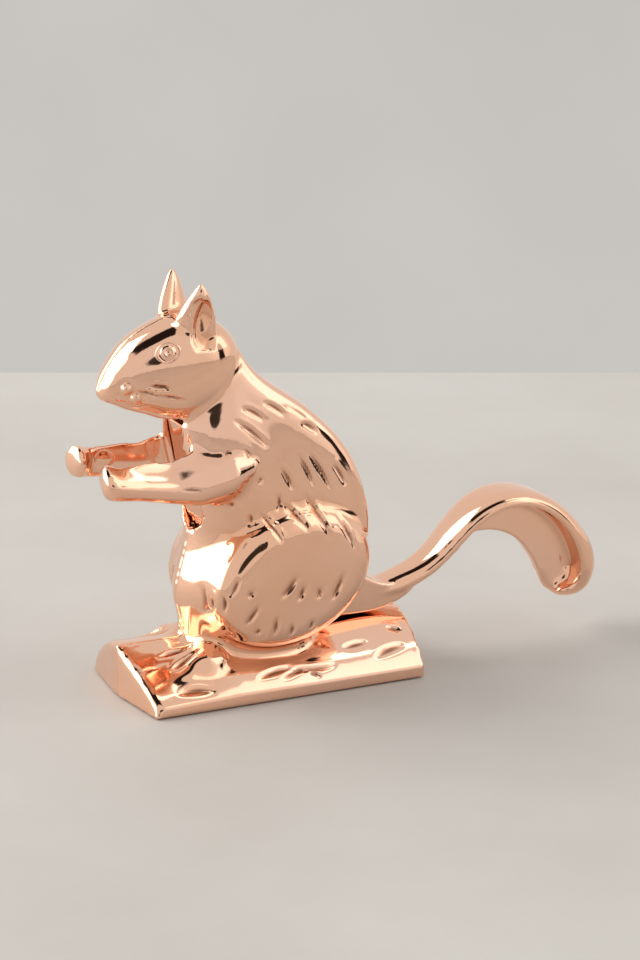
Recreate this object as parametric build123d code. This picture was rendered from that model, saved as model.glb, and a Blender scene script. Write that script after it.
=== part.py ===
"""Squirrel nutcracker: two hollow zinc die-cast body shells on a log, screwed together round a one-piece
lever whose outer end is the tail and whose inner end is a ribbed jaw behind the chest slot.

Millimetres. +Z is up, the squirrel faces -X, and its left side is -Y. The origin is the middle of the
log's underside, on the plane that the felt pad rests on. Lifting the tail draws the jaw back, and
pressing it down pushes the jaw towards the nut held between the paws.
"""

import math
import os

from build123d import *

# ---------------------------------------------------------------- driving dimensions
WALL = 3.0                      # casting wall

LOG_HALF_WIDTH = 28.0
LOG_HALF_LENGTH = 50.0          # at the log's long sides
LOG_DRAFT = 3.0                 # how much further the ends reach at the joint plane
LOG_CREST = 18.2
RIM_BOTTOM = 0.4                # the castings' rim stays clear of the table
PAD_TOP = 1.6
PAD_INSET = 2.0                 # felt pad edge to the log's outside

PIVOT = (-20.0, 102.0)          # x, z of the lever's pivot
PIVOT_PIN_R = 3.0
PIN_HALF = 11.0
RUNNING_GAP = 0.05              # pin to lever, lever to washer, washer to boss
SEAT_GAP = 0.02                 # pins and dowels in the shells
EYE_R = 7.5
EYE_ROOM = 1.1                  # space kept round the lever's eye
WASHER_T = 0.8
WASHER_R = 6.0

LEVER_HALF = 6.0                # half the thickness of the lever's arm
WEB_HALF = 1.8                  # half the thickness of the tail's web
WEB_THINS = (54.0, 68.0)        # x where the arm starts to thin, and where it is down to the web
JAW_SIDE_ROOM = 1.1             # jaw to the sides of the chest slot
JAW_RIBS = 5
CHEST_SLOT_HALF_TOP = 7.7
CHEST_SLOT_HALF = 9.4           # at the round lower end
CHEST_SLOT_BOTTOM = 56.2
CHEST_SLOT_TOP = 97.0
TAIL_SLOT_HALF = 7.2
TAIL_SLOT_TOP = 68.5

SCREW_R = 1.75
SCREW_CLEAR_R = 1.95
SCREW_HEAD_R = 3.0
SCREW_HEAD_T = 2.2
SCREW_HEAD_ROUND = 0.9
RECESS_LENGTH = 3.6             # cross recess in a screw head
RECESS_WIDTH = 0.9
RECESS_DEPTH = 1.0
COUNTERBORE_R = 3.3
SCREW_TIP = 7.0                 # how far a screw reaches into the left shell
BOSS_R = 5.0
BOSS_REACH = 24.0               # past the inside of the wall
THROUGH = 30.0                  # past the outside of any casting
DOWEL_R = 2.0
DOWEL_HALF = 4.5

# name: (x, z, y of the seat under the screw head on the right shell)
SCREWS = {
    "nape_screw": (3.5, 93.0, 12.5),
    "belly_screw": (-19.0, 34.0, 20.0),
    "log_front_screw": (-32.0, 6.5, 18.0),
    "log_rear_screw": (32.0, 6.5, 18.0),
}
DOWELS = {"head_dowel": (-38.5, 113.0), "back_dowel": (23.0, 73.5)}

# Torso levels, bottom to top: z, x of the front, x of the back, half width near the front, half width
TORSO = [
    (12.0, -26.5, 11.0, 12.0, 17.5),
    (22.0, -28.6, 19.0, 13.0, 18.8),
    (33.0, -30.8, 28.0, 14.0, 19.8),
    (45.0, -28.4, 33.6, 13.6, 19.8),
    (57.0, -26.2, 35.0, 13.0, 19.6),
    (68.0, -28.4, 33.0, 14.4, 19.2),
    (79.0, -31.0, 28.9, 15.0, 18.6),
    (90.0, -33.0, 20.9, 15.0, 17.6),
    (100.0, -31.5, 10.0, 13.4, 15.8),
    (110.0, -26.0, -3.4, 10.0, 12.6),
    (118.0, -24.0, -9.2, 7.0, 9.4),
    (124.0, -22.0, -13.0, 4.6, 6.4),
]
BACK_RADIUS = 6.5               # flank to back

# Head rings, nose to nape: x, lowest z, highest z, half width
HEAD = [
    (-57.4, 105.4, 110.6, 3.0),
    (-55.0, 103.9, 115.2, 6.2),
    (-50.5, 101.7, 121.2, 9.0),
    (-45.0, 99.6, 125.6, 11.4),
    (-38.0, 97.0, 129.0, 13.6),
    (-30.0, 95.6, 131.2, 15.0),
    (-23.0, 96.8, 130.9, 15.2),
    (-16.5, 101.5, 128.4, 13.6),
    (-11.5, 108.5, 123.8, 9.6),
]
OVAL_FULLNESS = 0.84            # 1 makes the rings ellipses, less makes them squarer
OVAL_POINTS = 16
NOSE = (-58.2, 107.7)
NAPE = (-9.0, 116.5)

# Left half of the log's crown, from the crest down to the side: y, z
CROWN_FULL = [(0, 18.2), (-10.7, 16.4), (-18.0, 12.9), (-24.6, 8.2), (-28.0, 4.4)]
CROWN_LOW = [(0, 18.2), (-11.5, 12.8), (-19.5, 9.0), (-25.0, 5.8), (-28.0, 3.4)]
CROWN_CHANGE = -18.0            # x where the left half's low front crown has risen to the full one

# Arm rings, paw to shoulder: x, then y of the flat inner side and of the outside, then z of the inner
# side's lower and upper edge, of the shoulder that slopes down outwards, of the outside and of the belly
ARM = [
    (-63.2, 14.8, 17.6, 78.5, 83.0, 82.6, 80.5, 78.2),
    (-62.2, 13.6, 20.0, 75.8, 86.4, 85.2, 80.2, 75.4),
    (-59.8, 12.9, 21.0, 75.4, 86.6, 84.8, 79.6, 74.6),
    (-56.5, 12.9, 20.6, 76.4, 85.4, 83.4, 78.8, 74.0),
    (-49.0, 12.9, 20.4, 75.4, 86.6, 81.8, 77.4, 73.0),
    (-38.0, 12.9, 20.8, 73.4, 87.6, 80.6, 76.0, 70.8),
    (-28.0, 12.6, 21.8, 71.4, 89.0, 82.6, 76.0, 69.0),
    (-17.0, 12.0, 22.2, 71.5, 90.0, 86.6, 78.0, 70.4),
    (-9.0, 12.0, 19.8, 77.0, 87.0, 85.8, 80.5, 76.4),
]
PAW_CURL = (-59.9, 12.8, 80.6)  # centre of the curled fingertips
PAW_CURL_RADII = (2.6, 4.8, 6.0)

THIGH_CENTRE = (3.6, 40.4)
THIGH_RADII = (30.4, 23.4)
THIGH_TILT = 20.0
THIGH_OUTSIDE = 25.4
THIGH_EDGE = 8.5

# Ear rings, root to tip: x, y, z, long radius, short radius
EAR = [
    (-26.8, 7.0, 120.0, 7.8, 4.6),
    (-26.6, 8.8, 128.5, 7.2, 3.7),
    (-26.4, 10.2, 133.0, 6.2, 3.1),
    (-25.9, 11.3, 138.0, 4.1, 2.4),
    (-25.6, 12.0, 142.0, 1.8, 1.3),
]
EAR_TIP = (-25.5, 12.2, 144.2)
EAR_TURN = 28.0                 # how far the ears face forwards
EAR_LEAN = 14.0
EAR_SCOOP = (-25.9, 13.7, 132.0)
EAR_SCOOP_RADII = (3.6, 2.6, 8.0)

# Toes of the left hind foot: centre, and how far each turns outwards
TOES = [((-36.5, 6.5, 15.0), -8.0), ((-35.0, 12.5, 12.8), 4.0), ((-32.5, 18.0, 10.8), 18.0)]
TOE_RADII = (6.5, 2.8, 2.6)
HEEL = (-26.0, 13.0, 13.5)
HEEL_RADII = (8.0, 8.0, 5.0)

# Lever in side view, as x, z. The crown is the outer line of the tail from the body to the hook's end.
TAIL_CROWN = [
    (30.0, 38.6), (38.0, 33.4), (46.0, 29.6), (52.5, 29.7), (59.0, 32.4), (66.0, 37.6), (74.0, 45.2),
    (82.0, 51.4), (90.0, 54.9), (98.0, 55.4), (106.0, 53.4), (114.0, 49.0), (121.0, 42.6), (126.5, 34.8),
    (129.6, 26.4), (129.0, 19.0), (125.4, 13.9), (119.6, 12.3), (114.4, 13.4),
]
WEB_INSET = 1.5                 # the web's outer edge lies this far inside the crown
TAIL_INNER = [
    (112.6, 14.8), (109.6, 19.6), (107.6, 25.2), (104.8, 30.0), (100.9, 35.0), (95.2, 38.9), (88.6, 40.8),
    (80.8, 40.7), (73.2, 38.7), (67.2, 35.6),
]
TAIL_STEP = (66.0, 30.4)
TAIL_UNDER = [(61.3, 27.2), (55.5, 23.7), (49.6, 20.9), (43.8, 19.3), (36.0, 18.8)]
LEVER_FRONT = [(22.0, 20.6), (10.0, 26.6), (-2.0, 37.0), (-12.0, 50.0)]
JAW_BOTTOM = (-23.4, 60.0)
JAW_TOP = (-30.4, 94.2)
JAW_BACK = 5.0                  # depth of the widened jaw plate
JAW_SHOULDER = (-25.6, 95.6)
LEVER_BACK = [(-13.0, 98.0), (-8.0, 80.0), (2.0, 62.0), (16.0, 48.0)]
# Rim rings: share of the way along the crown, half width, thickness
RIM = [
    (0.00, 6.2, 5.0), (0.14, 6.2, 5.0), (0.24, 7.4, 5.0), (0.34, 9.0, 4.6), (0.44, 10.4, 4.4),
    (0.54, 11.0, 4.6), (0.64, 11.0, 5.4), (0.74, 10.8, 6.8), (0.84, 10.2, 8.2), (0.91, 9.2, 7.6),
    (0.96, 7.8, 5.6), (1.00, 6.2, 3.6),
]


# ---------------------------------------------------------------- helpers
def on_side(shape, side):
    """A shape made for the left side, or its mirror image on the right: side is -1 for left, 1 for right."""
    return shape if side < 0 else mirror(shape, about=Plane.XZ)


def half_space(side):
    """A block that holds everything on one side of the joint plane."""
    return Pos(0, side * 100, 60) * Box(400, 200, 300)


def rod(x, z, radius, y_from, y_to):
    """A round bar along Y."""
    length = y_to - y_from
    return Pos(x, y_from + length / 2, z) * Rot(90, 0, 0) * Cylinder(radius, length)


def ellipsoid(centre, radii):
    """A ball stretched to three radii."""
    return Pos(*centre) * scale(Sphere(1.0), by=radii)


def upright(x):
    """The plane across the squirrel at x, with its own x along Y and its own y along Z."""
    return Plane(origin=(x, 0, 0), x_dir=(0, 1, 0), z_dir=(1, 0, 0))


def full_oval(half_width, half_height):
    """An oval that is fuller in its corners than an ellipse."""
    ring = []
    for i in range(OVAL_POINTS):
        turn = 2 * math.pi * i / OVAL_POINTS
        c, s = math.cos(turn), math.sin(turn)
        across = math.copysign(abs(c) ** OVAL_FULLNESS, c)
        up = math.copysign(abs(s) ** OVAL_FULLNESS, s)
        ring.append((half_width * across, half_height * up))
    return make_face(Spline(*ring, periodic=True))


# ---------------------------------------------------------------- solid outside forms of the body
def torso_level(z, front, back, front_half, half, inset):
    """One level of the torso: a narrow rounded belly, flat flanks and a squarer back."""
    x_front, x_back = front + inset, back - inset
    w_front, w = front_half - inset, half - inset
    length = x_back - x_front
    r = min(BACK_RADIUS - inset / 2, 0.22 * length)
    side = [
        (x_front + min(0.9, 0.04 * length), -0.45 * w_front),
        (x_front + min(4.6, 0.14 * length), -0.86 * w_front),
        (x_front + min(12.0, 0.34 * length), -(w_front + w) / 2 - 0.04 * w),
        (x_front + 0.55 * length, -w),
        (x_back - r, -w),
        (x_back - 0.29 * r, -w + 0.29 * r),
        (x_back - 0.1, -w + r),
    ]
    other = [(x, -y) for x, y in reversed(side)]
    ring = [(x_front, 0.0)] + side + [(x_back, 0.0)] + other
    return Plane.XY.offset(z) * make_face(Spline(*ring, periodic=True))


def torso(inset=0.0):
    """The torso as a loft through its levels; with an inset it is the hollow inside."""
    levels = TORSO if not inset else TORSO[:-1]
    return loft([torso_level(*level, inset) for level in levels])


def head(inset=0.0):
    """The egg-shaped head as a loft of upright ovals from the nose to the nape."""
    rings = []
    for x, low, high, half in HEAD:
        if half > 2 * inset:
            middle = upright(x) * Pos(0, (low + high) / 2)
            rings.append(middle * full_oval(half - inset, (high - low) / 2 - inset))
    if inset:
        return loft(rings)
    return loft([Vertex(NOSE[0], 0, NOSE[1])] + rings + [Vertex(NAPE[0], 0, NAPE[1])])


def thigh(inset=0.0):
    """The left thigh: a thick oval pad with a rounded edge."""
    oval = Plane.XZ * Ellipse(THIGH_RADII[0] - inset, THIGH_RADII[1] - inset)
    pad = extrude(Rot(0, -THIGH_TILT, 0) * oval, amount=THIGH_OUTSIDE - inset, dir=(0, -1, 0))
    pad = fillet(pad.edges().sort_by(Axis.Y)[0], THIGH_EDGE - inset / 2)
    return Pos(THIGH_CENTRE[0], 0, THIGH_CENTRE[1]) * pad


def log_section(x, crown, inset):
    """The left half of the log's cross-section at x."""
    floor = RIM_BOTTOM if not inset else -1.0
    top = [(y + (inset if y < -1 else 0), z - inset) for y, z in crown]
    side = (top[-1][0], floor)
    outline = Line((0, floor), top[0]) + Spline(*top) + Line(top[-1], side) + Line(side, (0, floor))
    return upright(x) * make_face(outline)


def log_half(side, inset=0.0):
    """Half of the log, with drafted ends that meet in a shallow V. The left half is lower in front."""
    reach = LOG_HALF_LENGTH + LOG_DRAFT + 1.0
    front_crown = CROWN_LOW if side < 0 else CROWN_FULL
    sections = [(-reach, front_crown), (CROWN_CHANGE, CROWN_FULL), (reach, CROWN_FULL)]
    half = loft([log_section(x, crown, inset) for x, crown in sections], ruled=True)
    for end in (-1, 1):
        x_middle = end * (LOG_HALF_LENGTH + LOG_DRAFT - inset)
        x_side = end * (LOG_HALF_LENGTH - inset)
        beyond = end * 1.4 * LOG_HALF_LENGTH
        wedge = Polyline(
            (x_middle, 1), (x_middle, 0), (x_side, -LOG_HALF_WIDTH), (x_side, -40), (beyond, -40),
            (beyond, 1), close=True)
        half -= Pos(0, 0, -5) * extrude(make_face(wedge), amount=40)
    return on_side(half, side)


def arm():
    """The left arm with its paw: D-shaped rings with the flat side towards the nut."""
    rings = []
    for x, inner, outer, low, high, shoulder, middle, belly in ARM:
        bend = (inner + outer) / 2
        curve = Spline((-inner, high), (-bend, shoulder), (-outer, middle), (-bend, belly), (-inner, low))
        rings.append(upright(x) * make_face(Line((-inner, low), (-inner, high)) + curve))
    x, y, z = PAW_CURL
    return loft(rings, ruled=True) + ellipsoid((x, -y, z), PAW_CURL_RADII)


def ear():
    """The left ear: a leaning flattened cone, scooped on its outer side."""
    rings = [Pos(x, -y, z) * Rot(0, 0, -EAR_TURN) * Ellipse(rx, ry) for x, y, z, rx, ry in EAR]
    cone = loft(rings + [Vertex(EAR_TIP[0], -EAR_TIP[1], EAR_TIP[2])])
    x, y, z = EAR_SCOOP
    scoop = scale(Sphere(1.0), by=EAR_SCOOP_RADII)
    return cone - Pos(x, -y, z) * Rot(-EAR_LEAN, 0, -EAR_TURN) * scoop


def foot():
    """The left hind foot: a heel and three toes lying forward on the log."""
    x, y, z = HEEL
    made = ellipsoid((x, -y, z), HEEL_RADII)
    for (x, y, z), turn in TOES:
        made += Pos(x, -y, z) * Rot(0, 0, turn) * scale(Sphere(1.0), by=TOE_RADII)
    return made


# ---------------------------------------------------------------- shells
def chest_slot_face(top, room=0.0):
    """The chest slot seen from the front: it widens downwards to a round end."""
    z_round = CHEST_SLOT_BOTTOM + CHEST_SLOT_HALF
    narrow = CHEST_SLOT_HALF_TOP - room
    wide = CHEST_SLOT_HALF - room
    sides = Polyline((-narrow, top), (narrow, top), (wide, z_round), (-wide, z_round), close=True)
    return make_face(sides) + Pos(0, z_round) * Circle(wide)


def lever_room():
    """What is cut away for the lever: the chest slot, the room round the pivot eye and the tail slot."""
    chest_slot = extrude(upright(-35.0) * chest_slot_face(CHEST_SLOT_TOP), amount=21)
    face = LEVER_HALF + WASHER_T + 2 * RUNNING_GAP
    eye_pocket = rod(*PIVOT, EYE_R + EYE_ROOM, -face, face)

    z_round = TAIL_SLOT_TOP - TAIL_SLOT_HALF
    z_low = LOG_CREST + 0.1
    profile = Pos(0, (z_low + z_round) / 2) * Rectangle(2 * TAIL_SLOT_HALF, z_round - z_low)
    profile += Pos(0, z_round) * Circle(TAIL_SLOT_HALF)
    return [chest_slot, eye_pocket, extrude(upright(10.0) * profile, amount=38)]


def fastener_bosses(side):
    """The bosses that hold the screws, the dowels and the pivot pin, from the joint plane to the wall."""
    far = side * BOSS_REACH
    low, high = min(0.0, far), max(0.0, far)
    bosses = [rod(x, z, BOSS_R, low, high) for x, z, _ in SCREWS.values()]
    bosses += [rod(x, z, 2 * DOWEL_R, low, high) for x, z in DOWELS.values()]
    face = side * (LEVER_HALF + WASHER_T + 2 * RUNNING_GAP)
    bosses.append(rod(*PIVOT, WASHER_R + 0.5, min(face, far), max(face, far)))
    return bosses


def body_shell(side):
    """One body shell. The screws come in through the right one and bite in the left one."""
    outside = (torso() + head()) & half_space(side)
    for piece in (thigh(), arm(), ear(), foot()):
        outside += on_side(piece, side)
    outside += log_half(side)

    hollow = (torso(WALL) + head(WALL)) & half_space(side)
    hollow += on_side(thigh(WALL), side)
    hollow += log_half(side, WALL)
    for boss in fastener_bosses(side):
        hollow -= boss

    shell = outside - hollow - pad_blank(PAD_TOP + 2.0, -2.0)
    for cutter in lever_room():
        shell -= cutter
    shell -= rod(*PIVOT, PIVOT_PIN_R + SEAT_GAP, -PIN_HALF - SEAT_GAP, PIN_HALF + SEAT_GAP)
    for x, z in DOWELS.values():
        shell -= rod(x, z, DOWEL_R + SEAT_GAP, -DOWEL_HALF - SEAT_GAP, DOWEL_HALF + SEAT_GAP)
    for x, z, seat in SCREWS.values():
        if side > 0:
            shell -= rod(x, z, SCREW_CLEAR_R, -1.0, THROUGH)
            shell -= rod(x, z, COUNTERBORE_R, seat, THROUGH)
        else:
            shell -= rod(x, z, SCREW_R, -SCREW_TIP, 1.0)
    return shell


# ---------------------------------------------------------------- lever
def web_top():
    """The web's outer edge, which follows the tail's crown a little inside it."""
    crown = Spline(*TAIL_CROWN)
    points = []
    for i in range(15):
        t = i / 14
        tangent = crown % t
        inward = Vector(tangent.Y, -tangent.X)
        points.append(crown @ t + inward * WEB_INSET)
    return points


def web_outline():
    """The side view of the lever: jaw, arm inside the body, and the tail's web."""
    top = web_top()
    return make_face(
        Spline(*top)
        + Line(top[-1], TAIL_INNER[0])
        + Spline(*TAIL_INNER)
        + Line(TAIL_INNER[-1], TAIL_STEP)
        + Spline(TAIL_STEP, *TAIL_UNDER, *LEVER_FRONT, JAW_BOTTOM)
        + Line(JAW_BOTTOM, JAW_TOP)
        + Line(JAW_TOP, JAW_SHOULDER)
        + Line(JAW_SHOULDER, LEVER_BACK[0])
        + Spline(*LEVER_BACK, top[0])
    )


def tail_rim():
    """The tail's rounded outer rim, a loft of D-shaped rings square to the crown line."""
    crown = Spline(*TAIL_CROWN)
    rings = []
    for t, half, thick in RIM:
        tangent = crown % t
        outward = Vector(-tangent.Y, 0, tangent.X)
        at = crown @ t
        square = Plane(origin=(at.X, 0, at.Y), x_dir=(0, 1, 0), z_dir=outward.cross(Vector(0, 1, 0)))
        if square.y_dir.dot(outward) < 0:
            square = Plane(origin=square.origin, x_dir=(0, 1, 0), z_dir=-square.z_dir)
        arch = Spline(
            (half, -thick), (0.97 * half, -0.5 * thick), (0.62 * half, -0.1 * thick), (0, 0),
            (-0.62 * half, -0.1 * thick), (-0.97 * half, -0.5 * thick), (-half, -thick))
        rings.append(square * make_face(arch + Line((-half, -thick), (half, -thick))))
    return loft(rings)


def jaw_plate():
    """The widened jaw behind the chest slot, with upright ribs across its face."""
    slope = math.degrees(math.atan2(JAW_BOTTOM[0] - JAW_TOP[0], JAW_TOP[1] - JAW_BOTTOM[1]))
    plate = extrude(upright(JAW_TOP[0] - 1) * chest_slot_face(JAW_TOP[1], JAW_SIDE_ROOM), amount=20)
    length = math.dist(JAW_BOTTOM, JAW_TOP)
    slab = Pos(JAW_BACK / 2, 0, length / 2) * Box(JAW_BACK, 30, length + 6)
    pitch = 2 * (CHEST_SLOT_HALF_TOP - JAW_SIDE_ROOM) / JAW_RIBS
    for i in range(JAW_RIBS - 1):
        groove_y = (i + 1 - JAW_RIBS / 2) * pitch
        slab -= Pos(0, groove_y, length / 2) * Cylinder(0.28 * pitch, length + 6)
    return plate & (Pos(JAW_BOTTOM[0], 0, JAW_BOTTOM[1]) * Rot(0, -slope, 0) * slab)


def lever_thickness():
    """The lever seen from above: a thick arm that thins down to the tail's web."""
    start, end = WEB_THINS
    near = [(-80.0, LEVER_HALF), (start, LEVER_HALF), (end, WEB_HALF), (150.0, WEB_HALF)]
    far = [(x, -y) for x, y in reversed(near)]
    return extrude(make_face(Polyline(*near, *far, close=True)), amount=150.0)


def tail_lever():
    """The one-piece lever: arm, pivot eye, jaw and rimmed tail."""
    lever = extrude(Plane.XZ * web_outline(), amount=LEVER_HALF, both=True) & lever_thickness()
    lever += rod(*PIVOT, EYE_R, -LEVER_HALF, LEVER_HALF)
    lever += tail_rim()
    lever += jaw_plate()
    return lever - rod(*PIVOT, PIVOT_PIN_R + RUNNING_GAP, -THROUGH, THROUGH)


# ---------------------------------------------------------------- small pieces
def pivot_pin():
    """The steel pin that the lever swings on."""
    return chamfer(rod(*PIVOT, PIVOT_PIN_R, -PIN_HALF, PIN_HALF).edges().filter_by(GeomType.CIRCLE), 0.5)


def pivot_washer(side):
    """The thin washer between the lever's eye and one shell's boss."""
    near = LEVER_HALF + RUNNING_GAP
    blank = rod(*PIVOT, WASHER_R, -near - WASHER_T, -near)
    return on_side(blank - rod(*PIVOT, PIVOT_PIN_R + RUNNING_GAP, -THROUGH, THROUGH), side)


def shell_screw(x, z, seat):
    """A pan-head screw that pulls the two shells together."""
    head_end = seat + SCREW_HEAD_T
    head_blank = rod(x, z, SCREW_HEAD_R, seat, head_end)
    screw = fillet(head_blank.edges().sort_by(Axis.Y)[-1], SCREW_HEAD_ROUND)
    screw += rod(x, z, SCREW_R, -SCREW_TIP + 0.3, seat)
    for turn in (0, 90):
        slot = Pos(x, head_end, z) * Rot(0, turn, 0) * Box(RECESS_LENGTH, 2 * RECESS_DEPTH, RECESS_WIDTH)
        screw -= slot
    return screw


def dowel(x, z):
    """A plain locating dowel across the joint plane."""
    return chamfer(rod(x, z, DOWEL_R, -DOWEL_HALF, DOWEL_HALF).edges().filter_by(GeomType.CIRCLE), 0.4)


def pad_blank(thickness, z_low):
    """The outline of the underside's recess, as thick as asked."""
    half_x = LOG_HALF_LENGTH - PAD_INSET
    half_y = LOG_HALF_WIDTH - PAD_INSET
    tip = half_x + LOG_DRAFT
    outline = Polyline(
        (tip, 0), (half_x, half_y), (-half_x, half_y), (-tip, 0), (-half_x, -half_y), (half_x, -half_y),
        close=True)
    return Pos(0, 0, z_low) * extrude(make_face(outline), amount=thickness)


def base_pad():
    """The felt pad that closes the log's underside and stands on the table."""
    return pad_blank(PAD_TOP, 0.0)


if __name__ == "__main__":
    os.makedirs("parts", exist_ok=True)
    nodes = {
        "left_body_shell": body_shell(-1),
        "right_body_shell": body_shell(1),
        "tail_lever": tail_lever(),
        "pivot_pin": pivot_pin(),
        "left_pivot_washer": pivot_washer(-1),
        "right_pivot_washer": pivot_washer(1),
        "base_pad": base_pad(),
    }
    for name, (x, z, seat) in SCREWS.items():
        nodes[name] = shell_screw(x, z, seat)
    for name, (x, z) in DOWELS.items():
        nodes[name] = dowel(x, z)
    for name, shape in nodes.items():
        export_step(shape, f"parts/{name}.step")
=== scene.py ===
"""Looks for the squirrel nutcracker: copper-plated die-cast shells and tail lever, steel fasteners, felt pad.

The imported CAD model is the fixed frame. Each casting is remeshed from its CAD node, its corners are filleted
as a die would leave them, and the fur strokes, log bark cuts and face are cut into its surface.
"""

import logging
import math
from dataclasses import dataclass
from enum import Enum

import bmesh
import bpy
import numpy as np
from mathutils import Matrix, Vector
from mathutils.bvhtree import BVHTree

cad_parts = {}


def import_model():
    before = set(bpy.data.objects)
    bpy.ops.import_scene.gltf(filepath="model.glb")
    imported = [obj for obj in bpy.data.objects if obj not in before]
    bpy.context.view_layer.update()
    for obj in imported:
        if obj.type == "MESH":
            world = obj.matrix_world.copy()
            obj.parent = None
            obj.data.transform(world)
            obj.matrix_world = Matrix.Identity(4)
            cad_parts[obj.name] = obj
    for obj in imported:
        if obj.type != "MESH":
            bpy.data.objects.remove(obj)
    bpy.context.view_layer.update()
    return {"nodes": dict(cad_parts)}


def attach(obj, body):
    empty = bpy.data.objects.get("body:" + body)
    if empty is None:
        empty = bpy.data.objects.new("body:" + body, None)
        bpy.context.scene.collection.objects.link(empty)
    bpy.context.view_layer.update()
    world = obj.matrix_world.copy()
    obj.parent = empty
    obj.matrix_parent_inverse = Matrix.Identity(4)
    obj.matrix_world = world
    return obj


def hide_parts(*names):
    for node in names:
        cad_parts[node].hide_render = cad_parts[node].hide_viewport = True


LOG = logging.getLogger("nutcracker")
MM = 0.001

# The colour sockets of a mix node
COLOUR_A, COLOUR_B, COLOUR_OUT = 6, 7, 2
# How far each relaxing pass moves a vertex, and how far the pass after it moves it back
RELAX, REGROW = 0.5, 0.53


class Side(Enum):
    """Which half of the squirrel a piece belongs to. The value is the sign of its Y."""

    LEFT = -1
    RIGHT = 1


class Metal(Enum):
    """The bare metals of the small parts: colour, then roughness."""

    STEEL = ((0.62, 0.60, 0.57), 0.26)
    DARK_STEEL = ((0.34, 0.33, 0.32), 0.34)


# ---------------------------------------------------------------- finishes
def new_material(name: str) -> tuple[bpy.types.Material, bpy.types.NodeTree, bpy.types.Node]:
    """Starts a node material.

    Args:
        name: The material's name.

    Returns:
        The material, its node tree and its principled shader.
    """
    material = bpy.data.materials.new(name)
    material.use_nodes = True
    tree = material.node_tree
    return material, tree, tree.nodes["Principled BSDF"]


def add_node(tree: bpy.types.NodeTree, kind: str, inputs: dict | None = None, **settings) -> bpy.types.Node:
    """Adds a node.

    Args:
        tree: The tree it goes in.
        kind: The node's type name.
        inputs: Values for its unlinked sockets, by name or index.
        **settings: Properties of the node itself.

    Returns:
        The new node.
    """
    node = tree.nodes.new(kind)
    for key, value in settings.items():
        setattr(node, key, value)
    for key, value in (inputs or {}).items():
        node.inputs[key].default_value = value
    return node


def noise(tree: bpy.types.NodeTree, scale: float, detail: float = 3.0,
          roughness: float = 0.5) -> bpy.types.Node:
    """Adds a noise texture on Object coordinates.

    Args:
        tree: The tree it goes in.
        scale: Cells a metre.
        detail: Octaves.
        roughness: How strong the finer octaves are.

    Returns:
        The noise node.
    """
    where = add_node(tree, "ShaderNodeTexCoord")
    made = add_node(tree, "ShaderNodeTexNoise", {"Scale": scale, "Detail": detail, "Roughness": roughness})
    tree.links.new(where.outputs["Object"], made.inputs["Vector"])
    return made


def spread(tree: bpy.types.NodeTree, source: bpy.types.NodeSocket, low: float, high: float,
           to_low: float = 0.0, to_high: float = 1.0) -> bpy.types.NodeSocket:
    """Maps one range of values on another, with the ends held.

    Args:
        tree: The tree it goes in.
        source: The socket to read.
        low: Where the source range starts.
        high: Where it ends.
        to_low: What its start becomes.
        to_high: What its end becomes.

    Returns:
        The mapped socket.
    """
    node = add_node(tree, "ShaderNodeMapRange",
                    {"From Min": low, "From Max": high, "To Min": to_low, "To Max": to_high})
    tree.links.new(source, node.inputs["Value"])
    return node.outputs["Result"]


def bumped(tree: bpy.types.NodeTree, height: bpy.types.NodeSocket, strength: float, distance: float,
           under: bpy.types.NodeSocket | None = None) -> bpy.types.NodeSocket:
    """Adds a bump.

    Args:
        tree: The tree it goes in.
        height: The height socket.
        strength: Share of the bump that shows.
        distance: Height in metres.
        under: The normal of a coarser bump that this one lies on.

    Returns:
        The normal socket.
    """
    node = add_node(tree, "ShaderNodeBump", {"Strength": strength, "Distance": distance})
    tree.links.new(height, node.inputs["Height"])
    if under is not None:
        tree.links.new(under, node.inputs["Normal"])
    return node.outputs["Normal"]


def blend_colours(tree: bpy.types.NodeTree, share: bpy.types.NodeSocket, first: tuple | bpy.types.NodeSocket,
                  second: tuple | bpy.types.NodeSocket) -> bpy.types.NodeSocket:
    """Mixes two colours, each given as numbers or as a socket.

    Args:
        tree: The tree it goes in.
        share: How much of the second one shows.
        first: The colour where share is 0.
        second: The colour where share is 1.

    Returns:
        The mixed colour socket.
    """
    node = add_node(tree, "ShaderNodeMix", data_type="RGBA", blend_type="MIX")
    tree.links.new(share, node.inputs["Factor"])
    for socket, value in ((node.inputs[COLOUR_A], first), (node.inputs[COLOUR_B], second)):
        if isinstance(value, bpy.types.NodeSocket):
            tree.links.new(value, socket)
        else:
            socket.default_value = (*value, 1.0)
    return node.outputs[COLOUR_OUT]


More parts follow.
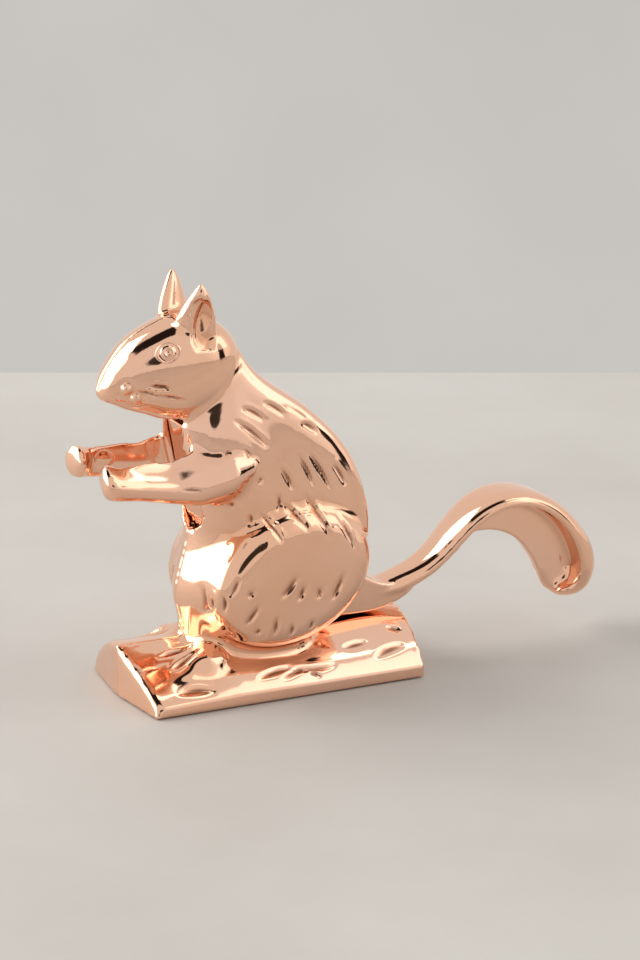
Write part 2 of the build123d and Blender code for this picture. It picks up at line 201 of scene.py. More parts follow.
@dataclass(frozen=True)
class CopperPlate:
    """Bright rose-copper plating over a polished casting."""

    name: str = "copper_plate"
    colour: tuple[float, float, float] = (0.93, 0.55, 0.375)
    rosy: tuple[float, float, float] = (0.95, 0.60, 0.45)
    # painted shade: the darker copper laid into corners and hollows, where shade falls
    painted_shade_colour: tuple[float, float, float] = (0.78, 0.36, 0.19)
    # painted shade: the near-black laid into the cut grooves
    groove_shade_colour: tuple[float, float, float] = (0.16, 0.055, 0.03)
    roughness: tuple[float, float] = (0.035, 0.10)

    def build(self) -> bpy.types.Material:
        """Returns the plating: tone drifts, painted shade darkens the corners and the cut grooves, the corners
        are a little rougher, with casting ripple and polishing haze.
        """
        material, tree, shader = new_material(self.name)
        shader.inputs["Metallic"].default_value = 1.0
        shader.inputs["IOR"].default_value = 1.5
        drift = noise(tree, 22.0, 2.0)
        tone = blend_colours(tree, spread(tree, drift.outputs["Fac"], 0.35, 0.65), self.colour, self.rosy)
        # Painted shade: corners and hollows are darkened towards the shade colour by how hollow they are, and
        # made a little rougher
        painted_shade = add_node(tree, "ShaderNodeAttribute", attribute_name="painted_shade")
        tone = blend_colours(tree, painted_shade.outputs["Fac"], tone, self.painted_shade_colour)
        # Painted shade: the cut fur and bark grooves are darkened towards near-black by their depth
        cuts = add_node(tree, "ShaderNodeAttribute", attribute_name="cut_depth")
        painted_groove_shade = spread(tree, cuts.outputs["Fac"], 0.42, 0.95, 0.0, 0.85)
        tone = blend_colours(tree, painted_groove_shade, tone, self.groove_shade_colour)
        tree.links.new(tone, shader.inputs["Base Color"])

        haze = noise(tree, 160.0, 5.0, 0.62)
        rough = spread(tree, haze.outputs["Fac"], 0.35, 0.7, *self.roughness)
        worn = add_node(tree, "ShaderNodeMath", operation="ADD")
        tree.links.new(rough, worn.inputs[0])
        tree.links.new(spread(tree, painted_shade.outputs["Fac"], 0.0, 1.0, 0.0, 0.14), worn.inputs[1])
        tree.links.new(worn.outputs["Value"], shader.inputs["Roughness"])

        ripple = noise(tree, 90.0, 1.5)
        pits = noise(tree, 1400.0, 2.0)
        lower = bumped(tree, ripple.outputs["Fac"], 0.35, 0.00028)
        fine = spread(tree, pits.outputs["Fac"], 0.3, 0.42)
        tree.links.new(bumped(tree, fine, 0.10, 0.00003, lower), shader.inputs["Normal"])
        return material


@dataclass(frozen=True)
class TurnedMetal:
    """Plain turned or rolled steel with fine tool lines and a slightly oily tone."""

    name: str
    metal: Metal = Metal.STEEL

    def build(self) -> bpy.types.Material:
        """Returns the steel with its tool lines and smudges."""
        material, tree, shader = new_material(self.name)
        colour, roughness = self.metal.value
        shader.inputs["Metallic"].default_value = 1.0
        smudge = noise(tree, 260.0, 4.0)
        dull = tuple(0.72 * c for c in colour)
        tree.links.new(
            blend_colours(tree, spread(tree, smudge.outputs["Fac"], 0.4, 0.7), colour, dull),
            shader.inputs["Base Color"])
        tree.links.new(spread(tree, smudge.outputs["Fac"], 0.3, 0.7, roughness - 0.06, roughness + 0.12),
                       shader.inputs["Roughness"])
        where = add_node(tree, "ShaderNodeTexCoord")
        stretch = add_node(tree, "ShaderNodeMapping", {"Scale": (2200.0, 120.0, 2200.0)})
        tree.links.new(where.outputs["Object"], stretch.inputs["Vector"])
        lines = add_node(tree, "ShaderNodeTexNoise", {"Scale": 1.0, "Detail": 2.0})
        tree.links.new(stretch.outputs["Vector"], lines.inputs["Vector"])
        tree.links.new(bumped(tree, lines.outputs["Fac"], 0.25, 0.00004), shader.inputs["Normal"])
        return material


@dataclass(frozen=True)
class Nylon:
    """Natural nylon for the bearing washers."""

    name: str = "nylon"
    colour: tuple[float, float, float] = (0.80, 0.77, 0.69)

    def build(self) -> bpy.types.Material:
        """Returns the washer's plastic, slightly mottled and waxy."""
        material, tree, shader = new_material(self.name)
        shader.inputs["Roughness"].default_value = 0.42
        shader.inputs["Subsurface Weight"].default_value = 0.12
        shader.inputs["Subsurface Radius"].default_value = (0.002, 0.0015, 0.001)
        mottle = noise(tree, 700.0, 3.0)
        shade = tuple(0.86 * c for c in self.colour)
        tree.links.new(
            blend_colours(tree, spread(tree, mottle.outputs["Fac"], 0.35, 0.7), self.colour, shade),
            shader.inputs["Base Color"])
        tree.links.new(bumped(tree, mottle.outputs["Fac"], 0.2, 0.00005), shader.inputs["Normal"])
        return material


@dataclass(frozen=True)
class Felt:
    """Pressed wool felt for the pad under the log."""

    name: str = "felt"
    colour: tuple[float, float, float] = (0.055, 0.050, 0.046)

    def build(self) -> bpy.types.Material:
        """Returns matt felt with matted fibres and pale lint."""
        material, tree, shader = new_material(self.name)
        shader.inputs["Roughness"].default_value = 0.95
        shader.inputs["Sheen Weight"].default_value = 0.4
        shader.inputs["Sheen Roughness"].default_value = 0.5
        fibre = noise(tree, 2600.0, 6.0, 0.7)
        lint = tuple(2.6 * c for c in self.colour)
        tree.links.new(
            blend_colours(tree, spread(tree, fibre.outputs["Fac"], 0.45, 0.8), self.colour, lint),
            shader.inputs["Base Color"])
        tree.links.new(bumped(tree, fibre.outputs["Fac"], 0.8, 0.0003), shader.inputs["Normal"])
        return material


@dataclass(frozen=True)
class PaleSlab:
    """The pale warm-grey trowelled floor."""

    name: str = "pale_slab"
    colour: tuple[float, float, float] = (0.55, 0.532, 0.508)
    cloud: tuple[float, float, float] = (0.49, 0.470, 0.445)

    def build(self) -> bpy.types.Material:
        """Returns the slab with trowel clouds and small pores."""
        material, tree, shader = new_material(self.name)
        shader.inputs["Roughness"].default_value = 0.62
        clouds = noise(tree, 5.0, 7.0, 0.6)
        tree.links.new(
            blend_colours(tree, spread(tree, clouds.outputs["Fac"], 0.35, 0.65), self.colour, self.cloud),
            shader.inputs["Base Color"])
        pores = noise(tree, 120.0, 4.0)
        tree.links.new(bumped(tree, pores.outputs["Fac"], 0.08, 0.001), shader.inputs["Normal"])
        return material


# ---------------------------------------------------------------- mesh help
def add_object(name: str, mesh: bpy.types.Mesh) -> bpy.types.Object:
    """Puts a mesh in the scene.

    Args:
        name: The object's name.
        mesh: The mesh it shows.

    Returns:
        The new object.
    """
    piece = bpy.data.objects.new(name, mesh)
    bpy.context.scene.collection.objects.link(piece)
    return piece


def fresh_copy(node: bpy.types.Object, name: str) -> bpy.types.Object:
    """Copies a CAD node's mesh and joins its loose triangles.

    Args:
        node: The CAD node.
        name: The new piece's name.

    Returns:
        The new object.
    """
    shape = bmesh.new()
    shape.from_mesh(node.data)
    bmesh.ops.remove_doubles(shape, verts=shape.verts, dist=1e-6)
    mesh = bpy.data.meshes.new(name)
    shape.to_mesh(mesh)
    shape.free()
    return add_object(name, mesh)


def remeshed(piece: bpy.types.Object, voxel: float) -> None:
    """Replaces the piece's mesh by an even grid of quads.

    Args:
        piece: The object to change.
        voxel: The grid's size in metres.
    """
    grid = piece.modifiers.new("even_grid", "REMESH")
    grid.mode = "VOXEL"
    grid.voxel_size = voxel
    ready = piece.evaluated_get(bpy.context.evaluated_depsgraph_get())
    mesh = bpy.data.meshes.new_from_object(ready)
    piece.modifiers.clear()
    piece.data = mesh
    mesh.name = piece.name


def neighbour_sums(edges: np.ndarray, table: np.ndarray) -> np.ndarray:
    """Adds up the values of each vertex's neighbours.

    Args:
        edges: The two ends of each edge.
        table: One row of values per vertex.

    Returns:
        The sums, one row per vertex.
    """
    a, b = edges.T
    size = len(table)
    return np.stack([np.bincount(a, c[b], size) + np.bincount(b, c[a], size) for c in table.T], axis=1)


class Skin:
    """A casting's surface as arrays, so that it can be smoothed and cut quickly."""

    # What counts as a corner to fill: the blur of the measure, its scale, and the share where it starts
    corner_blur: int = 7
    corner_mm: float = 0.010
    corner_start: float = 0.25

    def __init__(self, piece: bpy.types.Object) -> None:
        """Reads the piece's vertices, in millimetres, and its edges.

        Args:
            piece: The casting.
        """
        self.mesh = piece.data
        count = len(self.mesh.vertices)
        flat = np.zeros(count * 3, np.float32)
        self.mesh.vertices.foreach_get("co", flat)
        self.co = flat.reshape(-1, 3).astype(float) / MM
        ends = np.zeros(len(self.mesh.edges) * 2, np.int32)
        self.mesh.edges.foreach_get("vertices", ends)
        self.edges = ends.reshape(-1, 2)
        self.valence = np.maximum(np.bincount(ends, minlength=count), 1)

    def around(self, values: np.ndarray) -> np.ndarray:
        """Averages each vertex's neighbours.

        Args:
            values: One row per vertex.

        Returns:
            The neighbours' mean, in the same shape.
        """
        total = neighbour_sums(self.edges, values.reshape(len(self.co), -1))
        return (total / self.valence[:, None]).reshape(values.shape)

    def normals(self) -> np.ndarray:
        """Writes the vertices back and returns the unit normals."""
        self.write()
        flat = np.zeros(len(self.co) * 3, np.float32)
        self.mesh.vertex_normals.foreach_get("vector", flat)
        return flat.reshape(-1, 3).astype(float)

    def write(self) -> None:
        """Writes the vertices back to the mesh, in metres."""
        self.mesh.vertices.foreach_set("co", (self.co * MM).astype(np.float32).ravel())
        self.mesh.update()

    def smooth(self, passes: int, mask: np.ndarray | float = 1.0, shrink: bool = False) -> None:
        """Relaxes the surface.

        Args:
            passes: How many times.
            mask: How much each vertex takes part.
            shrink: Whether it may lose volume, as a fillet or a rounded edge does.
        """
        weight = mask[:, None] if isinstance(mask, np.ndarray) else mask
        for _ in range(passes):
            self.co += RELAX * weight * (self.around(self.co) - self.co)
            if not shrink:
                self.co -= REGROW * weight * (self.around(self.co) - self.co)

    def smooth_part(self, passes: int, part: np.ndarray, shrink: bool = False) -> None:
        """Relaxes only some vertices, which is quicker than a mask over them all.

        Args:
            passes: How many times.
            part: Which vertices.
            shrink: Whether the part may lose volume.
        """
        inner = part[self.edges].any(axis=1)
        used, ends = np.unique(self.edges[inner], return_inverse=True)
        edges = ends.reshape(-1, 2)
        count = np.maximum(np.bincount(edges.ravel(), minlength=len(used)), 1)
        local = self.co[used]
        free = part[used][:, None] * 1.0
        for _ in range(passes):
            for step in (RELAX,) if shrink else (RELAX, -REGROW):
                local = local + step * free * (neighbour_sums(edges, local) / count[:, None] - local)
        self.co[used] = local

    def hollowness(self, blur: int) -> np.ndarray:
        """Measures how hollow the surface is.

        Args:
            blur: How far the measure spreads, in passes.

        Returns:
            Millimetres, above 0 in corners and below 0 on edges.
        """
        value = np.einsum("ij,ij->i", self.around(self.co) - self.co, self.normals())
        for _ in range(blur):
            value = self.around(value)
        return value

    def fillet(self, passes: int, mask: np.ndarray | float = 1.0) -> None:
        """Fills inside corners with a smooth radius.

        Args:
            passes: More passes make a larger radius.
            mask: Where it may happen.
        """
        share = np.clip(self.hollowness(self.corner_blur) / self.corner_mm - self.corner_start, 0, 1) * mask
        for _ in range(2):
            share = self.around(share)
        self.smooth(passes, share, shrink=True)

    def store(self, name: str, value: np.ndarray) -> None:
        """Keeps one number per vertex as an attribute for the finish.

        Args:
            name: The attribute's name.
            value: The numbers, held between 0 and 1.
        """
        layer = self.mesh.attributes.new(name, "FLOAT", "POINT")
        layer.data.foreach_set("value", np.clip(value, 0, 1).astype(np.float32))


@dataclass(frozen=True)
class Stroke:
    """One cut of the fur or bark: its ends in millimetres, how far it bows, its width and its depth."""

    start: tuple[float, float]
    end: tuple[float, float]
    bow: float = 0.6
    width: float = 0.85
    depth: float = 0.8

    def distance(self, flat: np.ndarray) -> tuple[np.ndarray, np.ndarray, np.ndarray]:
        """Measures points against the stroke's bowed line.

        Args:
            flat: The points, two numbers each.

        Returns:
            The distance, the share of the way along, and which side of the line each point is on.
        """
        a, b = np.array(self.start), np.array(self.end)
        along = b - a
        length = np.linalg.norm(along)
        across = np.array([-along[1], along[0]]) / length
        t = np.clip((flat - a) @ along / length ** 2, -0.2, 1.2)
        line = a + t[:, None] * along + (self.bow * 4 * t * (1 - t))[:, None] * across
        gap = flat - line
        return np.linalg.norm(gap, axis=1), t, np.sign(gap @ across)


def cut(skin: Skin, normals: np.ndarray, plane: tuple[int, int], stroke: Stroke,
        where: np.ndarray) -> np.ndarray:
    """Presses one stroke into the surface: a sharp edge on one side and a soft ramp on the other.

    Args:
        skin: The surface.
        normals: Its normals before any cutting.
        plane: Which two axes the stroke's points are in.
        stroke: The stroke.
        where: Which vertices may be cut.

    Returns:
        How deep each vertex was cut, as a share of the full depth.
    """
    chosen = np.nonzero(where)[0]
    distance, t, edge = stroke.distance(skin.co[chosen][:, plane])
    ends = np.clip(np.sin(np.pi * np.clip(t, 0, 1)), 0, 1) ** 0.6
    reach = np.where(edge > 0, 0.65, 1.35) * stroke.width * (0.35 + 0.65 * ends)
    depth = np.exp(-(distance / reach) ** 2) * ends
    lip = 0.28 * np.exp(-((distance - 1.5 * stroke.width) / (0.6 * stroke.width)) ** 2) * ends * (edge > 0)
    skin.co[chosen] -= normals[chosen] * ((depth - lip) * stroke.depth)[:, None]
    marked = np.zeros(len(skin.co))
    marked[chosen] = depth
    return marked


# Fur strokes of the left half, as (x, z) to (x, z) in millimetres
THIGH_FUR = [
    ((-7.6, 64.4), (-2.0, 54.7)), ((0.9, 67.0), (7.7, 57.6)), ((8.9, 69.3), (15.8, 53.6)),
    ((19.4, 61.7), (24.9, 48.7)), ((-18.2, 44.6), (-21.3, 38.1)), ((-13.1, 39.8), (-15.2, 37.6)),
    ((3.4, 42.7), (-3.0, 35.4)), ((5.8, 39.2), (3.4, 33.6)), ((11.5, 37.5), (10.8, 33.5)),
    ((20.6, 41.4), (15.6, 31.9)), ((-10.8, 34.5), (-16.5, 27.2)), ((-10.6, 25.9), (-12.2, 23.7)),
    ((-4.4, 29.3), (-5.9, 22.3)), ((1.3, 26.2), (0.5, 21.3)), ((8.9, 26.5), (7.7, 22.5)),
    ((-26.4, 39.7), (-26.0, 29.3)), ((-23.2, 39.2), (-23.0, 32.0)),
]
BACK_FUR = [
    ((-12.8, 101.0), (-4.4, 95.4)), ((-16.0, 97.4), (-4.1, 86.8)), ((-5.0, 102.0), (3.2, 96.1)),
    ((8.2, 93.7), (14.2, 89.4)), ((6.3, 83.7), (12.3, 71.1)), ((9.7, 84.7), (18.9, 68.8)),
    ((18.9, 79.1), (24.1, 70.2)), ((-0.1, 79.5), (4.6, 70.9)), ((-1.0, 70.4), (-1.2, 64.4)),
    ((-11.1, 64.5), (-11.4, 60.9)), ((-18.3, 68.4), (-17.0, 66.7)), ((-8.3, 76.2), (-6.9, 75.0)),
]
ARM_FUR = [((-19.9, 85.2), (-17.9, 87.6)), ((-13.6, 87.8), (-10.0, 83.6)), ((-37.2, 76.6), (-28.6, 75.4))]
CHEEK_LINES = [
    ((-46.3, 111.0), (-36.3, 109.6)), ((-43.6, 110.2), (-37.6, 109.8)), ((-48.6, 109.0), (-40.9, 106.8)),
    ((-42.5, 107.4), (-31.4, 104.6)),
]
# Bark cuts of the left half, as (x, y) to (x, y), with their bow, width and depth
BARK_CUTS = [
    ((-40.7, -24.2), (-27.4, -25.6), 0.5, 1.15, 0.62), ((-11.5, -24.7), (1.9, -23.1), 0.5, 0.9, 0.55),
    ((-3.3, -26.0), (5.6, -24.0), 0.3, 0.8, 0.5), ((1.7, -23.4), (18.0, -24.2), -0.6, 0.9, 0.55),
    ((7.6, -25.2), (11.4, -26.6), 0.2, 0.7, 0.45), ((23.0, -19.4), (32.9, -18.5), 0.5, 1.1, 0.6),
    ((33.2, -24.0), (45.4, -21.5), 0.8, 1.15, 0.65), ((42.0, -13.6), (47.2, -16.4), 0.4, 1.0, 0.6),
]
# Grooves between the toes of the left hind foot, as (x, y) to (x, y)
TOE_GROOVES = [((-42.0, -9.4), (-29.0, -9.6)), ((-40.0, -16.2), (-27.0, -14.2))]
# The nose pad, the lip pad and the nostril of the left half: place, radius, and how far each is raised
NOSE_PADS = (
    ((-51.2, 8.6, 109.8), 1.35, 1.1), ((-48.0, 8.8, 106.3), 1.3, 1.0), ((-53.6, 7.2, 107.4), 0.9, -0.9),
)


@dataclass(frozen=True)
class Region:
    """A box on a casting, in millimetres. Its Y counts from the joint plane, on either side."""

    x: tuple[float, float] = (-math.inf, math.inf)
    y: tuple[float, float] = (-math.inf, math.inf)
    z: tuple[float, float] = (-math.inf, math.inf)

    def holds(self, x: np.ndarray, y: np.ndarray, z: np.ndarray) -> np.ndarray:
        """Finds the vertices inside the box.

        Args:
            x: Their X.
            y: Their distance from the joint plane.
            z: Their Z.

        Returns:
            True for each vertex inside.
        """
        inside = np.ones(len(x), bool)
        for values, (low, high) in ((x, self.x), (y, self.y), (z, self.z)):
            inside &= (values > low) & (values < high)
        return inside


ARM = Region(x=(-math.inf, -25), y=(8.5, math.inf), z=(64, 93))
FOOT = Region(x=(-47, -22), y=(2, 24), z=(6, 19))
GROIN = Region(x=(-math.inf, -8), y=(3, math.inf), z=(21, 57))
SEAM = Region(y=(-math.inf, 1.7))


@dataclass
class BodyShell:
    """One half of the body: torso, head, limbs and its half of the log, cast in one."""

    side: Side
    voxel: float = 0.69 * MM
    settle_passes: int = 22
    fillet_passes: int = 46
    rim_passes: int = 26
    arm_passes: int = 100
    arm_ease_passes: int = 22
    foot_passes: int = 75
    seam_passes: int = 90
    groin_passes: int = 110
    # the log's end face: its X at the joint plane, and how far it leans over the half width
    log_end: float = -53.0
    log_lean: float = 3.0
    log_half_width: float = 28.0
    # how far the painted shade in the corners spreads, what hollowness makes it full, and its most
    recess_blur: int = 6
    recess_mm: float = 0.05
    recess_most: float = 0.6
    ear_depth: float = 1.5
    ring_at: tuple[float, float] = (-51.0, 80.5)
    ring_radius: float = 2.6
    ring_depth: float = 0.28

    def build(self, nodes: dict[str, bpy.types.Object], plate: bpy.types.Material) -> bpy.types.Object:
        """Builds the shell.

        Args:
            nodes: The CAD nodes by name.
            plate: The finish.

        Returns:
            The finished piece.
        """
        name = f"{self.side.name.lower()}_body_shell"
        piece = fresh_copy(nodes[name], f"{name}_casting")
        remeshed(piece, self.voxel)
        skin = Skin(piece)
        self.soften(skin)
        marked = self.decorate(skin)
        skin.write()
        # Painted shade: how hollow each corner is, kept for the finish to darken
        skin.store("painted_shade", np.clip(skin.hollowness(self.recess_blur) / self.recess_mm, 0, self.recess_most))
        # the cut depth also paints shade into the grooves
        skin.store("cut_depth", marked)
        finish_casting(piece, plate)
        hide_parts(name)
        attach(piece, "body")
        return piece

    def soften(self, skin: Skin) -> None:
        """Gives the casting its die radii.

        The inside corners flow, the log's rim is rounded, the arm, the foot and the groin are eased, and the
        edge at the joint plane is made even.

        Args:
            skin: The surface.
        """
        skin.smooth(self.settle_passes)
        y = np.abs(skin.co[:, 1])
        clear_of_joint = np.clip((y - 0.8) / 1.5, 0, 1)
        skin.fillet(self.fillet_passes, clear_of_joint)
        x, z = skin.co[:, 0], skin.co[:, 2]
        end = self.log_end + self.log_lean * y / self.log_half_width
        rim = np.clip(1 - np.abs(x - end - 0.4) / 2.4, 0, 1) * (z > 1.6) * (y > 0.5)
        skin.smooth(self.rim_passes, np.clip(1.6 * rim, 0, 1), shrink=True)
        arm = ARM.holds(x, y, z)
        skin.smooth_part(self.arm_passes, arm)
        skin.smooth_part(self.arm_ease_passes, arm, shrink=True)
        skin.smooth_part(self.foot_passes, FOOT.holds(x, y, z), shrink=True)
        skin.smooth_part(self.seam_passes, SEAM.holds(x, y, z))
        skin.smooth_part(self.groin_passes, GROIN.holds(x, y, z), shrink=True)

    def decorate(self, skin: Skin) -> np.ndarray:
        """Cuts the fur, bark, toes, face, ear and pin mark, in millimetres from the frame's origin.

        Args:
            skin: The surface.

        Returns:
            How deep each vertex was cut.
        """
        normals = skin.normals()
        x, y, z = skin.co.T
        out = normals[:, 1] * self.side.value
        depth_y = y * self.side.value
        flank = (out > 0.2) & (depth_y > 7.0)
        marked = np.zeros(len(skin.co))
        for start, end in THIGH_FUR:
            marked += cut(skin, normals, (0, 2), Stroke(start, end), flank & (z < 71))
        for start, end in BACK_FUR:
            marked += cut(skin, normals, (0, 2), Stroke(start, end, 0.8), flank & (x > -24))
        for start, end in ARM_FUR:
            marked += cut(skin, normals, (0, 2), Stroke(start, end, 0.5, 0.7, 0.4), flank)
        cheek = (out > -0.1) & (depth_y > 4) & (z > 100)
        for start, end in CHEEK_LINES:
            marked += cut(skin, normals, (0, 2), Stroke(start, end, 0.7, 0.62, 0.75), cheek)
        up = (normals[:, 2] > 0.25) & (z < 17.8) & (depth_y > 5)
        sign = -self.side.value
        for (ax, ay), (bx, by), bow, width, deep in BARK_CUTS:
            stroke = Stroke((ax, sign * ay), (bx, sign * by), sign * bow, width, deep)
            marked += cut(skin, normals, (0, 1), stroke, up)
        for start, end in TOE_GROOVES:
            toes = Stroke((start[0], sign * start[1]), (end[0], sign * end[1]), 0.6 * sign, 0.9, 0.9)
            marked += cut(skin, normals, (0, 1), toes, up)
        self.shape_nose(skin, normals)
        self.scoop_ear(skin, normals)
        self.press_ring(skin, normals)
        skin.smooth(1)
        return np.clip(marked, 0, 1)

    def shape_nose(self, skin: Skin, normals: np.ndarray) -> None:
        """Raises the nose and lip pads, each in its own groove, and sinks the nostril.

        Args:
            skin: The surface.
            normals: Its normals before any cutting.
        """
        for (x, y, z), radius, rise in NOSE_PADS:
            gap = np.linalg.norm(skin.co - (x, y * self.side.value, z), axis=1)
            groove = 0.5 * np.exp(-((gap - 1.8 * radius) / (0.5 * radius)) ** 2) * (rise > 0)
            skin.co += normals * (rise * (np.exp(-(gap / radius) ** 2) - groove))[:, None]

    def scoop_ear(self, skin: Skin, normals: np.ndarray) -> None:
        """Scoops the ear's outer side, leaving a thick front rim and a thin back one.

        Args:
            skin: The surface.
            normals: Its normals before any cutting.
        """
        x, z = skin.co[:, 0], skin.co[:, 2]
        outer = (normals[:, 1] * self.side.value > 0.15) & (z > 121.5)
        across = (x + 24.2 - 0.10 * (z - 131)) / (4.2 - 0.17 * np.clip(z - 129, -4, 12))
        reach = across ** 2 + ((z - 129.0) / 10.4) ** 2
        skin.co -= normals * (self.ear_depth * np.clip(1.5 * (1 - reach), 0, 1) * outer)[:, None]

    def press_ring(self, skin: Skin, normals: np.ndarray) -> None:
        """Presses the ejector pin's ring into the inner side of the arm.

        Args:
            skin: The surface.
            normals: Its normals before any cutting.
        """
        x, y, z = skin.co.T
        inner = (normals[:, 1] * self.side.value < -0.5) & (np.abs(y) < 14.5) & (x < -44)
        gap = np.hypot(x - self.ring_at[0], z - self.ring_at[1])
        ring = np.exp(-((gap - self.ring_radius) / 0.4) ** 2) * inner
        skin.co -= normals * (self.ring_depth * ring)[:, None]


@dataclass
class Eye:
    """One cast eye: an almond lid ring round a domed eyeball with a pupil dimple."""

    side: Side
    centre: tuple[float, float] = (-37.6, 121.7)
    half_length: float = 4.5
    openness: float = 0.84
    tilt: float = 10.0
    spin_steps: int = 56
    # the share of the half length where the eyeball ends and the lid starts
    lid_start: float = 0.66
    corner_draw: float = 0.35
    # radius as a share of the half length, then height in millimetres
    profile: tuple[tuple[float, float], ...] = (
        (0.0, 0.15), (0.14, 0.20), (0.22, 0.46), (0.30, 0.58), (0.42, 0.50), (0.54, 0.22), (0.61, -0.04),
        (0.66, -0.10), (0.72, 0.06), (0.80, 0.20), (0.88, 0.16), (0.94, -0.08), (0.99, -0.5),
    )

    def build(self, shell: bpy.types.Object, plate: bpy.types.Material) -> bpy.types.Object:
        """Spins the eye's profile, draws it out to an almond and seats it on the head.

        Args:
            shell: The half of the body that it is on.
            plate: The finish.

        Returns:
            The finished piece.
        """
        shape = bmesh.new()
        line = [shape.verts.new((r, 0, h)) for r, h in self.profile]
        edges = [shape.edges.new(pair) for pair in zip(line, line[1:])]
        bmesh.ops.spin(shape, geom=line + edges, cent=(0, 0, 0), axis=(0, 0, 1), angle=2 * math.pi,
                       steps=self.spin_steps, use_merge=True)
        bmesh.ops.remove_doubles(shape, verts=shape.verts, dist=1e-5)
        for vert in shape.verts:
            share = math.hypot(vert.co.x, vert.co.y)
            almond = max(0.0, share - self.lid_start)
            corner = abs(vert.co.x) / max(share, 1e-6)
            vert.co.x *= self.half_length * (1 + self.corner_draw * almond * corner ** 6)
            vert.co.y *= self.half_length * (1 - (1 - self.openness) * min(1.0, almond * 4))
        centre, out = self.seat(shell)
        along = Vector((math.cos(math.radians(self.tilt)), 0, math.sin(math.radians(self.tilt))))
        along = (along - along.dot(out) * out).normalized()
        up = out.cross(along)
        tree = BVHTree.FromObject(shell, bpy.context.evaluated_depsgraph_get())
        for vert in shape.verts:
            above = centre + along * vert.co.x + up * vert.co.y + out * 8
            point, _, _, _ = tree.ray_cast(above * MM, -out)
            vert.co = point / MM + out * vert.co.z
        bmesh.ops.scale(shape, vec=(MM, MM, MM), verts=shape.verts)
        bmesh.ops.recalc_face_normals(shape, faces=shape.faces)
        outwards = sum(f.normal.dot(out) * f.calc_area() for f in shape.faces)
        if outwards < 0:
            bmesh.ops.reverse_faces(shape, faces=shape.faces)
        mesh = bpy.data.meshes.new("eye")
        shape.to_mesh(mesh)
        shape.free()
        eye = add_object(f"{self.side.name.lower()}_eye", mesh)
        finish_casting(eye, plate)
        finer = eye.modifiers.new("finer", "SUBSURF")
        finer.levels = finer.render_levels = 1
        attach(eye, "body")
        return eye

    def seat(self, shell: bpy.types.Object) -> tuple[Vector, Vector]:
        """Finds where the eye sits on the head.

        Args:
            shell: The half of the body.

        Returns:
            The point in millimetres and the outward direction, averaged under the eye.
        """
        tree = BVHTree.FromObject(shell, bpy.context.evaluated_depsgraph_get())
        side = self.side.value
        total, out = Vector(), Vector()
        around = [(0, 0), (2, 0), (-2, 0), (0, 2), (0, -2)]
        for dx, dz in around:
            start = Vector(((self.centre[0] + dx) * MM, side * 0.06, (self.centre[1] + dz) * MM))
            point, normal, _, _ = tree.ray_cast(start, Vector((0, -side, 0)))
            total += point / MM
            out += normal
        return total / len(around), out.normalized()


@dataclass
class TailLever:
    """The one-piece lever: tail, link through the body, and ribbed jaw."""

    voxel: float = 0.52 * MM
    settle_passes: int = 9
    fillet_passes: int = 60
    notch: tuple[float, float] = (66.0, 31.0)
    inner_fillet_passes: int = 10
    bowl_passes: int = 45
    # where the tail leaves the body, along X, and over what length
    tail_start: float = 34.0
    tail_blend: float = 6.0
    # the hook's bowl lies beyond this X and under this Z
    bowl_from: tuple[float, float] = (107.0, 23.0)
    # the part ahead of this X is inside the body, and gets painted shade for the shade it sits in there
    inside: float = 22.0
    # how far the painted shade in the corners spreads, what hollowness makes it full, and its most
    recess_blur: int = 6
    recess_mm: float = 0.08
    recess_most: float = 0.55

    def build(self, nodes: dict[str, bpy.types.Object], plate: bpy.types.Material) -> bpy.types.Object:
        """Builds the lever.

        Args:
            nodes: The CAD nodes by name.
            plate: The finish.

        Returns:
            The finished piece.
        """
        piece = fresh_copy(nodes["tail_lever"], "tail_lever_casting")
        remeshed(piece, self.voxel)
        skin = Skin(piece)
        skin.smooth(self.settle_passes)
        x, z = skin.co[:, 0], skin.co[:, 2]
        tail = np.clip((x - self.tail_start) / self.tail_blend, 0, 1)
        by_notch = np.clip(np.hypot(x - self.notch[0], z - self.notch[1]) / 3.0 - 1.0, 0, 1)
        skin.fillet(self.fillet_passes, tail * by_notch)
        skin.fillet(self.inner_fillet_passes, 1 - tail)
        bowl = (skin.co[:, 0] > self.bowl_from[0]) & (skin.co[:, 2] < self.bowl_from[1])
        skin.smooth_part(self.bowl_passes, bowl, shrink=True)
        skin.smooth(2)
        skin.write()
        # Painted shade: the corners are darkened by how hollow they are
        painted_shade = np.clip(skin.hollowness(self.recess_blur) / self.recess_mm, 0, self.recess_most)
        # painted shade also covers the whole part inside the body
        skin.store("painted_shade", painted_shade + self.recess_most * (skin.co[:, 0] < self.inside))
        finish_casting(piece, plate)
        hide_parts("tail_lever")
        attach(piece, "lever")
        return piece


@dataclass
class FeltPad:
    """The felt pad that closes the log: a pressed sheet with soft cut edges."""

    ease: float = 0.35 * MM

    def build(self, nodes: dict[str, bpy.types.Object], felt: bpy.types.Material) -> bpy.types.Object:
        """Builds the pad from its CAD outline.

        Args:
            nodes: The CAD nodes by name.
            felt: The finish.

        Returns:
            The finished piece.
        """
        shape = bmesh.new()
        shape.from_mesh(nodes["base_pad"].data)
        bmesh.ops.remove_doubles(shape, verts=shape.verts, dist=1e-6)
        bmesh.ops.dissolve_limit(shape, angle_limit=0.02, verts=shape.verts, edges=shape.edges)
        rim = [e for e in shape.edges if e.calc_face_angle(0) > 0.5]
        bmesh.ops.bevel(shape, geom=rim, offset=self.ease, affect="EDGES", segments=3, profile=0.5,
                        material=-1)
        mesh = bpy.data.meshes.new("felt_pad")
        shape.to_mesh(mesh)
        shape.free()
        pad = add_object("felt_pad", mesh)
        pad.data.materials.clear()
        pad.data.materials.append(felt)
        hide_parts("base_pad")
        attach(pad, "body")
        return pad


